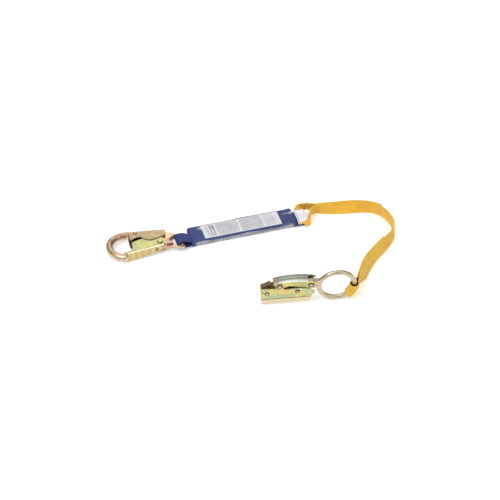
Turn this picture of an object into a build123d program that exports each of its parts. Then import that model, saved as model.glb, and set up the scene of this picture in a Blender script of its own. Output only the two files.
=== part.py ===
"""Shock absorbing lanyard: snap hook, energy absorber pack, webbing strap, ring and rope grab.

Millimetres, +Z up, everything laid out on the plane Z = 0.  The pack runs along +X.
The hook, the ring and the rope grab are each built in a frame of their own and then placed.
"""
import math
import os

from build123d import *

# ---------------------------------------------------------------- driving sizes
# energy absorber pack
PACK_X0 = -90.0           # hook end of the pack
PACK_X1 = 92.5            # strap end of the pack
PACK_W = 39.6             # cover webbing width
PACK_H = 12.6             # height of the cover's top face
COVER_T = 1.6             # cover webbing thickness
TEAR_W = 37.0             # tear webbing width
TEAR_T = 1.9              # tear webbing thickness
TEAR_PITCH = 2.15         # from one folded layer to the next
TEAR_LAYERS = 4
SLEEVE_T = 0.4            # clear film thickness
SLEEVE_W = 41.8
SLEEVE_H = 13.4
LABEL = (134.0, 33.0, 0.25)
WEB_T = 2.2               # strap and loop webbing thickness
HOOK_LOOP_W = 21.0        # webbing loop that holds the hook
HOOK_LOOP_Y = -8.6
PAD_T = 1.1               # wear pad thickness
END_LOOP_W = 28.0         # webbing loop that holds the strap
END_LOOP_Y = -5.5
END_LOOP_X = 113.6
END_LOOP_Z = 7.0

# snap hook, in its own frame: X from the nose centre to the eye, Y towards the gate
HOOK_AT = (-205.4, 6.6, 10.9)
HOOK_TURN = -8.0
NOSE_AT = (6.7, -2.1)     # centre of the nose
NOSE_R = 27.9             # centreline radius of the nose
BAR_R = 6.0               # round bar of the nose
SPINE_T = 10.0            # spine and eye thickness
EYE_X = 99.5              # centre of the eye's end bar
EYE_BAR_R = 4.5
GATE_PIVOT = (63.5, -7.0)
PIVOT_R = 2.9
SHEET_T = 1.3             # gate and lever sheet
GATE_IN_Z = 5.3           # inner cheek of the gate, from the mid plane
LEVER_Z = 6.9             # cheek of the lock lever
GATE_OUT_Z = 8.5          # outer flange of the gate

# strap
STRAP_W = 25.4
STRAP_Z = 12.9            # height of the strap's centreline, standing on edge
STRAP_ROUTE = [(130.5, 5.0), (147.0, -0.6), (165.0, -4.6), (184.0, -8.0), (202.0, -11.6),
               (217.0, -16.6), (229.0, -23.6), (237.6, -35.0), (243.0, -51.0), (245.2, -68.0),
               (243.2, -84.5), (234.6, -99.0), (221.0, -111.8), (206.0, -122.6),
               (191.5, -133.8), (178.0, -146.2), (166.0, -160.5), (156.5, -175.5)]
PACK_TAIL_EDGES = 7       # the folded-back tails lie along this many runs and bends
RING_TAIL_EDGES = 5

# rope grab, in its own frame: X along the rope, Z from the rope's groove to the arm
GRAB_AT = (-20.0, -182.9, 0.15)
GRAB_TURN = -11.7
GRAB_PITCH = 2.7
GRAB_LEAN = 7.0
GRAB_L = 81.5
GRAB_T = 1.3              # channel, cheek and arm sheet
GROOVE_R = 6.9            # groove for a 12 to 13 mm rope
CHEEK_Y = 8.25            # inner faces of the cheeks
ARM_Y = 6.45              # inner faces of the arm's plates, which move inside the cheeks
ARM_PIVOT = (31.1, 44.1)
RING_PIN = (82.6, 40.1)
PIN_R = 3.6
RIVETS = [(9.7, 30.3), (59.8, 29.9)]
TIE_PIN = (44.6, 46.6)
SEAT_PIN = (3.0, 32.2)
SPRING_FOOT = (1.8, 38.3)
SPRING_HEAD = (17.4, 47.2)
COVER_TOP = [(20.8, 49.1), (30.0, 51.1), (40.0, 52.5), (50.0, 53.1), (60.0, 52.9), (70.0, 51.9),
             (79.0, 50.5)]

# ring, in a frame whose origin is its lug's hole: X towards the ring, Z up in its plane
RING_R = 29.3             # centreline radius
RING_BAR = 4.1
RING_TURN = -9.2
RING_LEAN = 6.5
LUG_OFFSET = -2.4         # the lug lies this far from the middle of the grab's pin
LUG_TO_RING = (43.2, -10.3)
LUG_HOLE_R = 4.5
LUG_R = 7.6
LUG_T = 6.4
EYE_ANGLE = -26.0         # where the strap's eye holds the ring
EYE_LEG = (0.55, 0.835)   # way the strap leaves the eye: outwards, and to the ring's back
SLEEVE_BORE = 4.65
SLEEVE_OUT = 5.75
STRAP_EYE_BORE = 6.35

PARTS = {}


# ---------------------------------------------------------------- helpers
def turn(x=0.0, y=0.0, z=0.0):
    """A pure rotation, in degrees."""
    return Location((0, 0, 0), (x, y, z))


HOOK = Location(HOOK_AT) * turn(z=HOOK_TURN)
GRAB = Location(GRAB_AT) * turn(z=GRAB_TURN) * turn(y=-GRAB_PITCH) * turn(x=GRAB_LEAN)
PIN_PLACE = GRAB * Location((RING_PIN[0], LUG_OFFSET, RING_PIN[1]))
RING = Location(PIN_PLACE.position) * turn(z=RING_TURN) * turn(x=RING_LEAN)
# the ring is modelled flat in XY about Z, then stood up in the XZ plane of its frame
RING_FLAT = RING * Location((LUG_TO_RING[0], 0, LUG_TO_RING[1])) * turn(x=90)


def box(x0, x1, y0, y1, z0, z1):
    size = (x1 - x0, y1 - y0, z1 - z0)
    return Location(((x0 + x1) / 2, (y0 + y1) / 2, (z0 + z1) / 2)) * Box(*size)


def plate(points, z0, z1):
    """A flat plate with the outline given in XY, from z0 to z1."""
    outline = Plane.XY * make_face(Polyline(*points, close=True))
    return Location((0, 0, z0)) * extrude(outline, z1 - z0)


def side_plate(points, y0, y1):
    """A flat plate with the outline given in XZ, from y0 to y1."""
    outline = Plane.XZ * make_face(Polyline(*points, close=True))
    return Location((0, y1, 0)) * extrude(outline, y1 - y0)


def both_sides(points, inner, outer):
    """The same XY plate on each side of the mid plane Z = 0."""
    return plate(points, inner, outer), plate(points, -outer, -inner)


def rod_z(at, radius, z0, z1):
    return Location((at[0], at[1], (z0 + z1) / 2)) * Cylinder(radius, z1 - z0)


def rod_y(at, radius, y0, y1):
    """A rod along Y through the point (x, z)."""
    return Location((at[0], (y0 + y1) / 2, at[1])) * turn(x=90) * Cylinder(radius, y1 - y0)


def rivet_y(at, radius, half, head_r, head_t):
    """A rivet along Y with a domed head at each end."""
    shape = rod_y(at, radius, -half, half)
    for side in (-1, 1):
        head = rod_y(at, head_r, min(side * half, side * (half + head_t)),
                     max(side * half, side * (half + head_t)))
        rim = head.edges().filter_by(GeomType.CIRCLE).sort_by(Axis.Y)
        head = fillet(rim[-1] if side > 0 else rim[0], head_t * 0.8)
        shape += head
    return shape


def rivet_z(at, radius, half, head_r, head_t):
    """The same rivet along Z."""
    flat = rivet_y((0, 0), radius, half, head_r, head_t)
    return Location((at[0], at[1], 0)) * turn(x=90) * flat


def loop_band(x_root, x_nose, y0, y1, z, inner, thick):
    """A webbing loop in the XZ plane: two level legs joined by a half round."""
    outer = inner + thick
    side = 1 if x_nose > x_root else -1
    x_arc = x_nose - side * outer
    band = box(min(x_root, x_arc), max(x_root, x_arc), y0, y1, z - outer, z + outer)
    band += rod_y((x_arc, z), outer, y0, y1)
    band -= box(min(x_root, x_arc) - 1, max(x_root, x_arc) + 1, y0 - 1, y1 + 1, z - inner, z + inner)
    band -= rod_y((x_arc, z), inner, y0 - 1, y1 + 1)
    return band


def keep(name, shape, place=None):
    PARTS[name] = shape if place is None else place * shape


# ---------------------------------------------------------------- snap hook
def hook_body():
    """Forged body: round nose bar, flat spine, shoulder and an eye with a round end bar."""
    top = math.radians(82)
    middle = Vector(*NOSE_AT)
    start = middle + Vector(NOSE_R * math.cos(top), NOSE_R * math.sin(top))
    tip = start + Vector(math.sin(top), -math.cos(top)) * 6.0
    path = Wire([Line(tip, start), CenterArc(middle, NOSE_R, 82, 188)])
    nose = sweep(Plane(origin=tip, z_dir=start - tip) * Circle(BAR_R), path=path)
    # the tip is cut to the gate's swing, and the other end steps down into the spine
    nose -= rod_z(GATE_PIVOT, 60.6, -10, 10)
    nose -= box(3.6, 20, -40, -25.4, -10, 10)
    spine = [(1.0, -20.4), (9.0, -19.2), (14.0, -18.0), (60.0, -2.4), (68.5, 2.0), (71.0, 19.4),
             (78.6, 20.6), (90.0, 13.2), (97.0, 13.8), (104.0, 13.4), (104.0, 10.7), (90.2, 10.5),
             (80.0, 2.4), (80.0, -1.6), (89.0, -14.8), (104.0, -15.2), (104.0, -18.2),
             (97.0, -19.4), (76.0, -13.4), (66.0, -12.6), (40.0, -19.2), (14.0, -23.8),
             (3.6, -25.4), (1.0, -26.4)]
    flat = plate(spine, -SPINE_T / 2, SPINE_T / 2)
    flat = fillet(flat.edges().filter_by(Plane.XY), 1.0)
    # the eye's near arm is thinner than the spine
    flat -= box(74.0, 110, -30, -9.6, -8, -1.6)
    flat -= box(74.0, 110, -30, -9.6, 2.0, 8)
    end_bar = Location((EYE_X, -2.1, 0)) * turn(x=90) * Cylinder(EYE_BAR_R, 28.6)
    body = nose + flat + end_bar
    body -= rod_z(GATE_PIVOT, PIVOT_R + 0.05, -10, 10)
    body -= rod_z(GATE_PIVOT, 5.6, -2.9, 2.9)
    body -= box(GATE_PIVOT[0] - 5.6, GATE_PIVOT[0] + 5.6, GATE_PIVOT[1], 6, -2.9, 2.9)
    return body


def hook_gate():
    """Folded gate: a web on the outside, inner cheeks on the pivot and short outer flanges."""
    top_line = [(13.3, 22.9), (75.2, 21.0)]
    inner = [(13.6, 20.6), top_line[0], (70.0, 21.1), (69.0, 4.0), (69.6, -9.0), (64.0, -13.0),
             (57.6, -10.0), (50.0, 6.0), (30.0, 14.0), (13.6, 12.0)]
    flange = [top_line[0], top_line[1], (75.2, 10.2), (66.0, 4.6), (56.0, 0.6), (47.0, -0.9),
              (39.0, 2.4), (32.0, 8.4), (24.0, 7.2), (16.0, 1.6), (14.4, 4.0)]
    web = [top_line[0], top_line[1], (75.2, 19.6), (13.3, 21.5)]
    out_z = GATE_OUT_Z + SHEET_T
    # behind the shoulder only the flanges go on
    short_web = [web[0], (69.4, 21.15), (69.4, 19.75), web[3]]
    body = plate(short_web, -out_z, out_z)
    for piece in both_sides(inner, GATE_IN_Z, GATE_IN_Z + SHEET_T):
        body += piece
    for piece in both_sides(flange, GATE_OUT_Z, out_z):
        body += piece
    body -= rod_z(GATE_PIVOT, PIVOT_R + 0.05, -20, 20)
    # raised dimple that stiffens each flange near the nose
    for side in (-1, 1):
        body += rod_z((24.6, 18.0), 2.6, min(side * out_z, side * (out_z + 0.7)),
                      max(side * out_z, side * (out_z + 0.7)))
    return body


def hook_lever():
    """Folded lock lever: an outer wall along the spine and two wide cheeks."""
    cheek = [(6.0, -31.2), (67.0, -16.6), (72.4, -10.6), (71.4, -2.0), (67.0, 8.4), (50.0, 8.0),
             (32.0, 3.6), (16.4, -2.6), (16.2, -20.6), (6.0, -26.0)]
    wall = [(6.0, -31.2), (67.0, -16.6), (67.0, -15.2), (6.0, -29.8)]
    out_z = LEVER_Z + SHEET_T
    body = plate(wall, -out_z, out_z)
    for piece in both_sides(cheek, LEVER_Z, out_z):
        body += piece
    body -= rod_z(GATE_PIVOT, PIVOT_R + 0.05, -20, 20)
    # the wall's lower edge, and the lower cheek's rim, rise towards the eye
    rise = [(14.0, -9.0), (68.0, -9.0), (68.0, -1.0), (14.0, -8.4)]
    body -= Location((6.0, -31.2, 0)) * turn(z=13.46) * side_plate(rise, -2.0, 5.0)
    # lanyard hole through the wall, near the eye
    hole = Location((57.0, -18.5, 1.8)) * turn(z=13.5) * turn(x=90) * Cylinder(2.0, 6.0)
    return body - hole


def hook_small_parts():
    """Pivot rivet, gate spring coil and the lever's leaf spring."""
    keep("hook_pivot_rivet", rivet_z(GATE_PIVOT, PIVOT_R, GATE_OUT_Z + 0.2, 4.2, 0.9), HOOK)
    helix = Helix(pitch=1.5, height=3.9, radius=4.2, center=(0, 0, -1.95))
    wire = sweep(Plane(origin=helix @ 0, z_dir=helix % 0) * Circle(0.55), path=helix, is_frenet=True)
    keep("hook_gate_spring", Location((GATE_PIVOT[0], GATE_PIVOT[1], 0)) * wire, HOOK)
    leaf = [(20.0, -25.7), (30.0, -22.3), (40.0, -19.7), (40.0, -20.3), (30.0, -22.9), (20.0, -26.1)]
    keep("hook_lever_spring", plate(leaf, -3.5, 3.5), HOOK)


def build_hook():
    keep("hook_body", hook_body(), HOOK)
    keep("hook_gate", hook_gate(), HOOK)
    keep("hook_lock_lever", hook_lever(), HOOK)
    hook_small_parts()


# ---------------------------------------------------------------- energy absorber pack
def tear_webbing():
    """One strip of tear webbing folded back and forth into a flat stack."""
    x0 = PACK_X0 + 5.6
    x1 = PACK_X1 - 4.4
    half = TEAR_W / 2
    stack = None
    for layer in range(TEAR_LAYERS):
        z = 0.9 + layer * TEAR_PITCH
        strip = box(x0, x1, -half, half, z, z + TEAR_T)
        stack = strip if stack is None else stack + strip
        if layer:
            fold = (x0, x0 + TEAR_T) if layer % 2 else (x1 - TEAR_T, x1)
            stack += box(fold[0], fold[1], -half, half, z - TEAR_PITCH, z + TEAR_T)
    return stack


def cover_webbing():
    """Blue cover: over the stack and down over both of its ends."""
    half = PACK_W / 2
    cover = box(PACK_X0, PACK_X1, -half, half, PACK_H - COVER_T, PACK_H)
    cover += box(PACK_X0, PACK_X0 + 5.0, -half, half, 1.2, PACK_H)
    cover += box(PACK_X1 - 3.8, PACK_X1, -half, half, 1.2, PACK_H)
    ends = cover.edges().filter_by(Axis.Y).group_by(Axis.Z)[-1]
    return fillet(ends, 2.4)


def shrink_sleeve():
    """Clear film drawn tight round the whole stack, open at both ends."""
    half = SLEEVE_W / 2
    outer = box(PACK_X0 + 3, PACK_X1 - 2, -half, half, 0, SLEEVE_H)
    outer = fillet(outer.edges().filter_by(Axis.X), 0.9)
    inner = box(PACK_X0, PACK_X1 + 2, -half + SLEEVE_T, half - SLEEVE_T, SLEEVE_T, SLEEVE_H - SLEEVE_T)
    return outer - inner


def pack_stitches():
    """Bar tacks across the cover at both ends."""
    rows = []
    for x in (PACK_X0 + 8.0, PACK_X0 + 12.0, PACK_X1 - 8.0, PACK_X1 - 12.0):
        rows.append(box(x - 0.8, x + 0.8, -14.0, 14.0, PACK_H, PACK_H + 0.3))
    return Compound(children=rows)


def build_pack():
    keep("tear_webbing", tear_webbing())
    z_top = 0.9 + TEAR_LAYERS * TEAR_PITCH
    keep("backup_webbing", box(PACK_X0 + 5.6, PACK_X1 - 4.4, -12, 12, z_top, z_top + 1.3))
    keep("pack_cover", cover_webbing())
    keep("shrink_sleeve", shrink_sleeve())
    keep("pack_stitching", pack_stitches())
    label = box(-LABEL[0] / 2, LABEL[0] / 2, -LABEL[1] / 2, LABEL[1] / 2, PACK_H + 0.02,
                PACK_H + 0.02 + LABEL[2])
    keep("pack_label", label)
    # hook loop, lined with a wear pad; the end bar of the hook's eye runs through it
    bar = HOOK * Location((EYE_X, 0.5, 0))
    skew = HOOK_LOOP_W / 2 * math.tan(math.radians(abs(HOOK_TURN)))
    bore = EYE_BAR_R + 0.5
    nose = bar.position.X - bore - PAD_T - WEB_T - skew
    y0 = HOOK_LOOP_Y - HOOK_LOOP_W / 2
    y1 = HOOK_LOOP_Y + HOOK_LOOP_W / 2
    z = HOOK_AT[2]
    pad = loop_band(PACK_X0 - 5, nose + WEB_T, y0, y1, z, bore, PAD_T)
    web = loop_band(PACK_X0 - 0.05, nose, y0, y1, z, bore + PAD_T, WEB_T)
    web &= box(nose - 1, PACK_X0 - 0.05, y0, y1, 0.4, 40)
    keep("hook_wear_pad", pad)
    keep("hook_loop_webbing", web)
    # strap loop at the other end, with its white tag
    ey0 = END_LOOP_Y - END_LOOP_W / 2
    ey1 = END_LOOP_Y + END_LOOP_W / 2
    keep("strap_loop_webbing", loop_band(PACK_X1 + 0.05, END_LOOP_X, ey0, ey1, END_LOOP_Z, 3.0, WEB_T))
    tag_z = END_LOOP_Z + 3.0 + WEB_T
    tag = box(94.0, 111.0, ey0 - 0.9, ey1 + 0.9, tag_z + 0.05, tag_z + 0.45)
    tag += box(94.0, 111.0, ey0 - 0.9, ey0 - 0.5, 8.6, tag_z + 0.45)
    keep("strap_loop_tag", tag)


# ---------------------------------------------------------------- strap
def rounded_route(points):
    """Runs joined by tangent arcs, each as large as its two runs allow."""
    radii = []
    for before, here, after in zip(points, points[1:], points[2:]):
        run_in = Vector(*here) - Vector(*before)
        run_out = Vector(*after) - Vector(*here)
        half_turn = math.radians(run_in.get_angle(run_out)) / 2
        shorter = min(run_in.length, run_out.length)
        radii.append(0.45 * shorter / math.tan(half_turn))
    return FilletPolyline(*points, radius=radii), radii


def on_edge(path, side=0.0, low=STRAP_Z - STRAP_W / 2, high=STRAP_Z + STRAP_W / 2):
    """Webbing standing on edge along a level path, `side` to the left of it."""
    here = path @ 0
    at = Plane(origin=(here.X, here.Y, (low + high) / 2), x_dir=(0, 0, 1), z_dir=path % 0)
    section = at * Location((0, -side, 0)) * Rectangle(high - low, WEB_T)
    level = Location((0, 0, (low + high) / 2)) * path
    return sweep(section, path=level)


def edge_leg(points, low, high):
    """A short leg of webbing on edge along rounded runs."""
    return on_edge(rounded_route(points)[0], 0.0, low, high)


def strap_pack_eye():
    """End of the strap through the pack's loop: flat inside it, then both legs turn on edge."""
    y0 = END_LOOP_Y - END_LOOP_W / 2 - 3.1
    y1 = END_LOOP_Y + END_LOOP_W / 2 + 4.0
    eye = box(94.4, 110.0, y0, y1, END_LOOP_Z - WEB_T / 2, END_LOOP_Z + WEB_T / 2)
    near = edge_leg([(97.0, y0), (113.6, y0), (119.6, -15.2), (122.2, -5.0), (128.8, 2.0)],
                    0.8, 14.0)
    far = edge_leg([(99.0, y1), (108.0, 17.2), (116.0, 17.8), (121.5, 14.6), (129.7, 7.6)],
                   3.0, 19.0)
    return eye + near + far


def eye_profile(bore):
    """Section of the strap's ring eye in (radius, back): a band with its two legs."""
    out = bore + WEB_T
    way = Vector(*EYE_LEG).normalized()
    side = Vector(-way.Y, way.X)
    legs = [side * out * 0.97 + way * 2.0, way * 17.0 + side * WEB_T, way * 17.0 - side * WEB_T,
            side * -out * 0.97 + way * 2.0]
    face = Circle(out) + make_face(Polyline(*legs, close=True))
    slot = [side * bore * 0.93 + way * 1.2, way * 13.6, side * -bore * 0.93 + way * 1.2]
    return face - Circle(bore) - make_face(Polyline(*slot, close=True))


def ring_segment(sketch):
    """A section at the ring's bar, swept along the bar by the strap's width."""
    arc = math.degrees(STRAP_W / RING_R)
    at = Plane(origin=(RING_R, 0, 0), x_dir=(1, 0, 0), z_dir=(0, 1, 0))
    solid = revolve(at * sketch, Axis.Z, arc)
    return RING_FLAT * turn(z=EYE_ANGLE - arc / 2) * solid


def strap_ring_eye():
    """Sewn eye round the ring's bar, with a twisted neck up to the standing strap."""
    eye = ring_segment(eye_profile(STRAP_EYE_BORE))
    way = Vector(*EYE_LEG).normalized()
    spot = RING_FLAT * turn(z=EYE_ANGLE) * Location((RING_R + way.X * 15.6, 0, -way.Y * 15.6))
    flat = RING_FLAT * turn(z=EYE_ANGLE)
    along = (flat * Location((0, 1, 0))).position - flat.position
    out = (flat * Location((way.X, 0, -way.Y))).position - flat.position
    start = Plane(origin=spot.position, x_dir=along, z_dir=out) * Rectangle(STRAP_W - 2, 2 * WEB_T - 0.8)
    last = Vector(*STRAP_ROUTE[-1])
    before = Vector(*STRAP_ROUTE[-2])
    back = (before - last).normalized()
    side = Vector(back.Y, -back.X)
    stop_at = last + side * -WEB_T / 2
    stop = Plane(origin=(stop_at.X, stop_at.Y, STRAP_Z), x_dir=(0, 0, 1),
                 z_dir=(back.X, back.Y, 0)) * Rectangle(STRAP_W - 1, 2 * WEB_T - 0.4)
    neck = loft([start, stop])
    return eye + neck


def build_strap():
    path, radii = rounded_route(STRAP_ROUTE)
    run = on_edge(path)
    keep("strap_webbing", run)
    section = WEB_T * STRAP_W
    print("strap length", round(path.length, 1), "volume over section x length",
          round(run.volume / (section * path.length), 4))
    print("strap radii", [round(r) for r in radii])
    edges = path.edges()
    inner = -WEB_T - 0.03
    keep("strap_tail_pack", on_edge(Wire(edges[:PACK_TAIL_EDGES]), inner))
    keep("strap_tail_ring", on_edge(Wire(edges[-RING_TAIL_EDGES:]), inner))
    keep("strap_eye_pack", strap_pack_eye())
    keep("strap_eye_ring", strap_ring_eye())
    sleeve = Circle(SLEEVE_OUT) - Circle(SLEEVE_BORE)
    keep("eye_wear_sleeve", ring_segment(sleeve))


# ---------------------------------------------------------------- ring
def ring_link():
    """Round ring with a flat lug; the lug's hole is loose on the grab's pin."""
    dx, dz = LUG_TO_RING
    reach = math.hypot(dx, dz)
    angle = 180 + math.degrees(math.atan2(dz, dx))
    bar = Plane.XZ * Location((RING_R, 0, 0)) * Circle(RING_BAR)
    ring = revolve(bar, Axis.Z)
    # the lug starts inside the bar, and stays out of the ring's opening
    lug = plate([(26.6, -12.6), (26.6, 12.6), (33.0, 8.6), (reach, LUG_R), (reach, -LUG_R), (33.0, -8.6)],
                -LUG_T / 2, LUG_T / 2)
    lug += rod_z((reach, 0), LUG_R, -LUG_T / 2, LUG_T / 2)
    lug -= rod_z((0, 0), RING_R - 1.0, -LUG_T, LUG_T)
    lug -= rod_z((reach, 0), LUG_HOLE_R, -LUG_T, LUG_T)
    link = ring + turn(z=angle) * lug

    return RING_FLAT * link


# ---------------------------------------------------------------- rope grab
def grab_channel():
    """Folded channel: round groove below and two walls that the cheeks are riveted to."""
    out = GROOVE_R + GRAB_T
    wall = [(0, out), (0, 35.0), (14.0, 35.0), (21.0, 30.5), (50.0, 30.5), (55.0, 33.6),
            (64.6, 33.6), (70.0, 29.0), (GRAB_L, 19.0), (GRAB_L, out)]
    body = Location((GRAB_L / 2, 0, out)) * turn(y=90) * Cylinder(out, GRAB_L)
    body -= box(-1, GRAB_L + 1, -20, 20, out, 40)
    for side in (-1, 1):
        body += side_plate(wall, min(side * GROOVE_R, side * out), max(side * GROOVE_R, side * out))
    body -= Location((GRAB_L / 2, 0, out)) * turn(y=90) * Cylinder(GROOVE_R, GRAB_L + 2)
    for at in RIVETS:
        body -= rod_y(at, 2.0, -20, 20)
    return body - rod_y(SEAT_PIN, 1.5, -20, 20)


def cheek(side):
    """Outer cheek riveted to the channel; a tab on its top edge carries the arm's pivot."""
    outline = [(1.0, 17.6), (81.6, 15.6), (83.8, 18.8), (88.2, 24.0), (88.6, 27.2), (84.4, 31.8),
               (76.0, 34.2), (66.0, 36.8), (56.0, 37.6), (46.0, 37.0), (38.6, 37.2), (37.0, 40.4),
               (36.4, 46.0), (34.4, 48.6), (31.1, 49.5), (27.8, 48.6), (25.8, 46.0)]
    if side < 0:
        outline += [(25.0, 41.2), (22.0, 40.2), (8.0, 41.0), (0.6, 41.4)]
    else:
        outline += [(25.0, 40.2), (20.0, 37.6), (8.0, 36.6), (0.6, 36.4)]
    outer = CHEEK_Y + GRAB_T
    shape = side_plate(outline, min(side * CHEEK_Y, side * outer), max(side * CHEEK_Y, side * outer))
    for at in RIVETS:
        shape -= rod_y(at, 2.0, -20, 20)
    shape -= rod_y(SEAT_PIN, 1.5, -20, 20)
    return shape - rod_y(ARM_PIVOT, 2.8, -20, 20)


def arm_plate(side):
    """Side plate of the arm, from the pivot to the ring's pin."""
    outline = [(23.6, 44.6), (25.6, 41.0), (28.0, 39.0), (31.5, 38.4), (35.0, 38.8), (40.0, 39.6),
               (46.0, 42.2), (52.6, 41.7), (59.3, 39.0), (66.0, 37.2), (72.6, 35.6), (79.0, 33.8),
               (82.6, 33.0), (86.0, 34.6), (87.8, 38.0), (88.2, 41.6), (92.0, 43.4), (92.2, 45.8),
               (84.0, 49.6)]
    outline += [(x, z - GRAB_T - 0.03) for x, z in reversed(COVER_TOP[1:])]
    outline += [(23.6, COVER_TOP[0][1] - GRAB_T + 0.5)]
    outer = ARM_Y + GRAB_T
    shape = side_plate(outline, min(side * ARM_Y, side * outer), max(side * ARM_Y, side * outer))
    shape -= rod_y(ARM_PIVOT, 2.85, -20, 20)
    shape -= rod_y(RING_PIN, PIN_R, -20, 20)
    return shape - rod_y(TIE_PIN, 2.0, -20, 20)


def arm_cover():
    """Arched cover over both arm plates, open over the ring's lug."""
    half = ARM_Y + GRAB_T
    under = [(x, z - GRAB_T) for x, z in reversed(COVER_TOP)]
    return side_plate(COVER_TOP + under, -half, half)


def cam():
    """Toothed cam between the arm's plates, held by the pivot and a flush tie pin."""
    radii = [(-150, 12.4), (-143, 15.0), (-133, 18.6), (-124, 21.8), (-116, 24.4), (-109, 26.6),
             (-102, 28.2), (-95, 28.5), (-88, 28.5), (-80, 28.6), (-72, 28.8), (-65, 28.4)]
    px, pz = ARM_PIVOT
    outline = []
    for angle, radius in radii:
        for step, depth in ((0, 0.0), (2.6, 1.2)):
            a = math.radians(angle + step)
            outline.append((px + (radius - depth) * math.cos(a), pz + (radius - depth) * math.sin(a)))
    outline += [(39.0, 34.0), (40.5, 41.0), (47.0, 43.4), (48.6, 46.8), (46.6, 49.6), (36.0, 49.4),
                (28.0, 48.4), (24.6, 44.0)]
    body = side_plate(outline, -6.3, 6.3)
    body -= rod_y(ARM_PIVOT, 2.85, -20, 20)
    return body - rod_y(TIE_PIN, 2.0, -20, 20)


def grab_spring():
    """Compression spring from the cheeks' end up to the cover's free end."""
    foot = Vector(SPRING_FOOT[0], 0, SPRING_FOOT[1])
    head = Vector(SPRING_HEAD[0], 0, SPRING_HEAD[1])
    axis = head - foot
    helix = Helix(pitch=2.4, height=axis.length, radius=3.6)
    wire = sweep(Plane(origin=helix @ 0, z_dir=helix % 0) * Circle(0.7), path=helix, is_frenet=True)
    return Plane(origin=foot, z_dir=axis).location * wire


def build_grab():
    half = CHEEK_Y + GRAB_T
    arm_half = ARM_Y + GRAB_T
    keep("grab_channel", grab_channel(), GRAB)
    keep("grab_cheek_front", cheek(-1), GRAB)
    keep("grab_cheek_back", cheek(1), GRAB)
    rivets = [rivet_y(at, 2.0, half, 3.3, 0.9) for at in RIVETS]
    keep("grab_rivets", Compound(children=rivets), GRAB)
    keep("grab_pivot_rivet", rivet_y(ARM_PIVOT, 2.8, half, 4.0, 1.0), GRAB)
    keep("grab_seat_pin", rod_y(SEAT_PIN, 1.5, -half, half), GRAB)
    keep("grab_spring", grab_spring(), GRAB)
    keep("arm_plate_front", arm_plate(-1), GRAB)
    keep("arm_plate_back", arm_plate(1), GRAB)
    keep("arm_cover", arm_cover(), GRAB)
    keep("cam", cam(), GRAB)
    keep("cam_tie_pin", rod_y(TIE_PIN, 2.0, -arm_half, arm_half), GRAB)
    keep("ring_pin", rivet_y(RING_PIN, PIN_R, arm_half, 4.5, 1.0), GRAB)
    keep("ring_link", ring_link())


# ---------------------------------------------------------------- frame of the whole part
CORD_NODES = ["strap_webbing", "strap_tail_pack", "strap_tail_ring", "strap_eye_pack",
              "strap_eye_ring"]


def shift_to_origin():
    """Centre of the bottom of the box of everything but the strap."""
    boxes = [s.bounding_box() for name, s in PARTS.items() if name not in CORD_NODES]
    low = Vector(min(b.min.X for b in boxes), min(b.min.Y for b in boxes), min(b.min.Z for b in boxes))
    high = Vector(max(b.max.X for b in boxes), max(b.max.Y for b in boxes), 0)
    return Vector(-(low.X + high.X) / 2, -(low.Y + high.Y) / 2, -low.Z)


def show_frame(name, place, shift):
    """Print where a frame's origin and axes lie in the finished part, for the record."""
    base = place.position

    def way(x, y, z):
        return (place * Location((x, y, z))).position - base

    at = base + shift
    print(name, "at", [round(v, 3) for v in at], "x", [round(v, 5) for v in way(1, 0, 0)],
          "y", [round(v, 5) for v in way(0, 1, 0)], "z", [round(v, 5) for v in way(0, 0, 1)])


def main():
    build_hook()
    build_pack()
    build_strap()
    build_grab()
    shift = shift_to_origin()
    os.makedirs("parts", exist_ok=True)
    for name, shape in PARTS.items():
        export_step(Location(shift) * shape, f"parts/{name}.step")
    print("shift", [round(v, 3) for v in shift])
    show_frame("hook eye bar", HOOK * Location((EYE_X, 0, 0)), shift)
    show_frame("hook pivot", HOOK * Location((GATE_PIVOT[0], GATE_PIVOT[1], 0)), shift)
    show_frame("hook nose", HOOK, shift)
    show_frame("strap eye on ring", RING_FLAT * turn(z=EYE_ANGLE) * Location((RING_R, 0, 0)), shift)
    show_frame("ring centre", RING_FLAT, shift)
    show_frame("ring pin", GRAB * Location((RING_PIN[0], 0, RING_PIN[1])), shift)
    show_frame("arm pivot", GRAB * Location((ARM_PIVOT[0], 0, ARM_PIVOT[1])), shift)
    groove = Location((GRAB_L / 2, 0, GROOVE_R + GRAB_T))
    show_frame("rope groove", GRAB * groove, shift)


main()
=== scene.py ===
"""Looks of the shock absorbing lanyard: plated steel, webbing, film and label, all in the CAD frame.

Metres, +Z up.  Sizes given in millimetres are turned into metres by MM.
"""

import math

import bpy
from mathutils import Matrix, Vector


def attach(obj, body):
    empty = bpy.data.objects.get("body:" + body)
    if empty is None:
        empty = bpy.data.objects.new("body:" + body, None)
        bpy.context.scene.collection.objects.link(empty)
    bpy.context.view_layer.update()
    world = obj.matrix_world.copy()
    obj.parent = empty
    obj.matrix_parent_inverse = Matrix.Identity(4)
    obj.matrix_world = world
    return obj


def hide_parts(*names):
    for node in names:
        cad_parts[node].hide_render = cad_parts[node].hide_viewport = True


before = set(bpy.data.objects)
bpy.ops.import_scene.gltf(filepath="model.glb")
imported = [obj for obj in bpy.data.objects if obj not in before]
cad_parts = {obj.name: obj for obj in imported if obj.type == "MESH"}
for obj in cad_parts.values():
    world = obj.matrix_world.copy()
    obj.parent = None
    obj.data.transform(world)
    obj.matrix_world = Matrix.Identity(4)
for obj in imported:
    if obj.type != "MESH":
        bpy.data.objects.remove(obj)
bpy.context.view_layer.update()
MM = 0.001
SHIFT = Vector((48.976, 92.484, 0.0))      # from part.py's layout to the row frame, in millimetres


def at(x, y, z):
    """A point of part.py's layout, in the row frame."""
    return (Vector((x, y, z)) + SHIFT) * MM


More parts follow.
